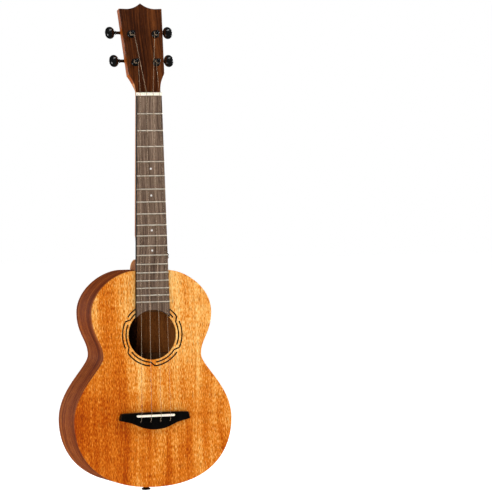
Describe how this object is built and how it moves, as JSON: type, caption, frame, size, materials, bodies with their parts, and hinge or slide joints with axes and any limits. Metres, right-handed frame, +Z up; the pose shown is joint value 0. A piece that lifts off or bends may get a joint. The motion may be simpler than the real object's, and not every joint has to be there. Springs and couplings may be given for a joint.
{
  "type": "tenor ukulele",
  "caption": "Tenor ukulele with a waisted hollow body, round soundhole, glued bridge, fretted neck and geared tuners that turn the string posts.",
  "frame": {"origin": "where a hanger's yoke holds the neck, just under the headstock's ears, on the centre line and level with the plane of the soundboard's face", "axes": "+Z up the neck to the headstock, +X to the right seen from the front, +Y from the soundboard to the back, so the front faces -Y"},
  "size_m": [0.2246, 0.0914, 0.6658],
  "materials": {
    "top_mahogany": "satin",
    "back_mahogany": "satin",
    "side_mahogany": "satin",
    "inner_wood": "raw",
    "neck_wood": "gloss",
    "heel_cap_wood": "gloss",
    "walnut_veneer": "satin",
    "fretboard_wood": "open grain, unvarnished",
    "bridge_wood": "satin black",
    "cream_bone": "satin cream",
    "string_nylon": "translucent",
    "black_metal": "gloss black",
    "gear_brass": "polished",
    "button_plastic": "gloss black",
    "chrome": "polished"
  },
  "bodies": {
    "instrument": {"soundboard": "top_mahogany", "back_plate": "back_mahogany", "side_left": "side_mahogany", "side_right": "side_mahogany", "neck_block": "inner_wood", "tail_block": "inner_wood", "lining_top_left": "inner_wood", "lining_top_right": "inner_wood", "lining_back_left": "inner_wood", "lining_back_right": "inner_wood", "top_brace_upper": "inner_wood", "top_brace_lower": "inner_wood", "fan_brace_left": "inner_wood", "fan_brace_centre": "inner_wood", "fan_brace_right": "inner_wood", "back_brace_upper": "inner_wood", "back_brace_middle": "inner_wood", "back_brace_lower": "inner_wood", "bridge_patch": "inner_wood", "neck": "neck_wood", "heel_cap": "heel_cap_wood", "headplate": "walnut_veneer", "fretboard": "fretboard_wood", "nut": "cream_bone", "bridge": "bridge_wood", "saddle": "cream_bone", "string_g": "string_nylon", "string_c": "string_nylon", "string_e": "string_nylon", "string_a": "string_nylon", "strap_button_heel": "chrome", "strap_button_tail": "black_metal", "tuner_plate_lower_left": "black_metal", "bushing_lower_left": "black_metal", "tuner_plate_lower_right": "black_metal", "bushing_lower_right": "black_metal", "tuner_plate_upper_left": "black_metal", "bushing_upper_left": "black_metal", "tuner_plate_upper_right": "black_metal", "bushing_upper_right": "black_metal"},
    "post_lower_left_body": {"post_lower_left": "black_metal", "gear_lower_left": "gear_brass", "gear_screw_lower_left": "black_metal"},
    "worm_lower_left_body": {"worm_shaft_lower_left": "black_metal", "button_lower_left": "button_plastic"},
    "post_lower_right_body": {"post_lower_right": "black_metal", "gear_lower_right": "gear_brass", "gear_screw_lower_right": "black_metal"},
    "worm_lower_right_body": {"worm_shaft_lower_right": "black_metal", "button_lower_right": "button_plastic"},
    "post_upper_left_body": {"post_upper_left": "black_metal", "gear_upper_left": "gear_brass", "gear_screw_upper_left": "black_metal"},
    "worm_upper_left_body": {"worm_shaft_upper_left": "black_metal", "button_upper_left": "button_plastic"},
    "post_upper_right_body": {"post_upper_right": "black_metal", "gear_upper_right": "gear_brass", "gear_screw_upper_right": "black_metal"},
    "worm_upper_right_body": {"worm_shaft_upper_right": "black_metal", "button_upper_right": "button_plastic"}
  },
  "joints": [
    {"name": "worm_turn_lower_left", "type": "hinge", "parent": "instrument", "child": "worm_lower_left_body", "pos_m": [-0.0152, 0.02793, 0.0347], "axis": [1, 0, 0], "continuous": true},
    {"name": "post_turn_lower_left", "type": "hinge", "parent": "instrument", "child": "post_lower_left_body", "pos_m": [-0.0152, 0.00916, 0.03175], "axis": [0, 0.9703, -0.2419], "continuous": true},
    {"name": "worm_turn_lower_right", "type": "hinge", "parent": "instrument", "child": "worm_lower_right_body", "pos_m": [0.0152, 0.02793, 0.0347], "axis": [1, 0, 0], "continuous": true},
    {"name": "post_turn_lower_right", "type": "hinge", "parent": "instrument", "child": "post_lower_right_body", "pos_m": [0.0152, 0.00916, 0.03175], "axis": [0, 0.9703, -0.2419], "continuous": true},
    {"name": "worm_turn_upper_left", "type": "hinge", "parent": "instrument", "child": "worm_upper_left_body", "pos_m": [-0.0174, 0.03761, 0.07351], "axis": [1, 0, 0], "continuous": true},
    {"name": "post_turn_upper_left", "type": "hinge", "parent": "instrument", "child": "post_upper_left_body", "pos_m": [-0.0174, 0.01884, 0.07056], "axis": [0, 0.9703, -0.2419], "continuous": true},
    {"name": "worm_turn_upper_right", "type": "hinge", "parent": "instrument", "child": "worm_upper_right_body", "pos_m": [0.0174, 0.03761, 0.07351], "axis": [1, 0, 0], "continuous": true},
    {"name": "post_turn_upper_right", "type": "hinge", "parent": "instrument", "child": "post_upper_right_body", "pos_m": [0.0174, 0.01884, 0.07056], "axis": [0, 0.9703, -0.2419], "continuous": true}
  ],
  "couplings": [
    {"joint": "post_turn_lower_left", "follows": "worm_turn_lower_left", "ratio": -0.071429},
    {"joint": "post_turn_lower_right", "follows": "worm_turn_lower_right", "ratio": -0.071429},
    {"joint": "post_turn_upper_left", "follows": "worm_turn_upper_left", "ratio": -0.071429},
    {"joint": "post_turn_upper_right", "follows": "worm_turn_upper_right", "ratio": -0.071429}
  ]
}
